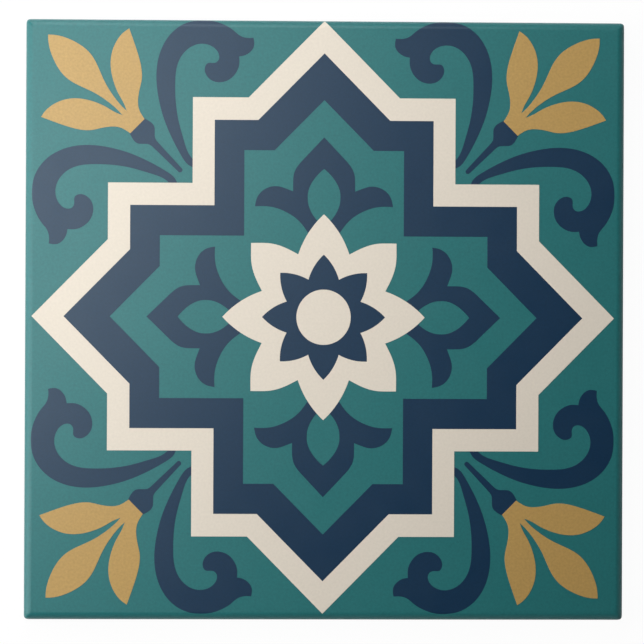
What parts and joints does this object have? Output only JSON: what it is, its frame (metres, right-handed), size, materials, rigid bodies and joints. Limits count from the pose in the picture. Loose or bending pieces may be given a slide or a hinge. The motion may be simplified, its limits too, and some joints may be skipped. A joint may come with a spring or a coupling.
{
  "type": "glazed ceramic wall tile",
  "caption": "Square glazed ceramic wall tile with cushioned edges, a keyed back and an eight-pointed star ornament on its face.",
  "frame": {"origin": "middle of the back, on the plane that the back's ribs and margin lie in", "axes": "+Z out of the decorated face, +Y towards the top of the decoration, +X to its right"},
  "size_m": [0.108, 0.108, 0.0065],
  "materials": {
    "teal_glaze": "satin",
    "navy_glaze": "satin",
    "cream_glaze": "satin",
    "gold_glaze": "satin",
    "bisque": "matte"
  },
  "bodies": {
    "root": {"tile": "teal_glaze"}
  },
  "joints": []
}
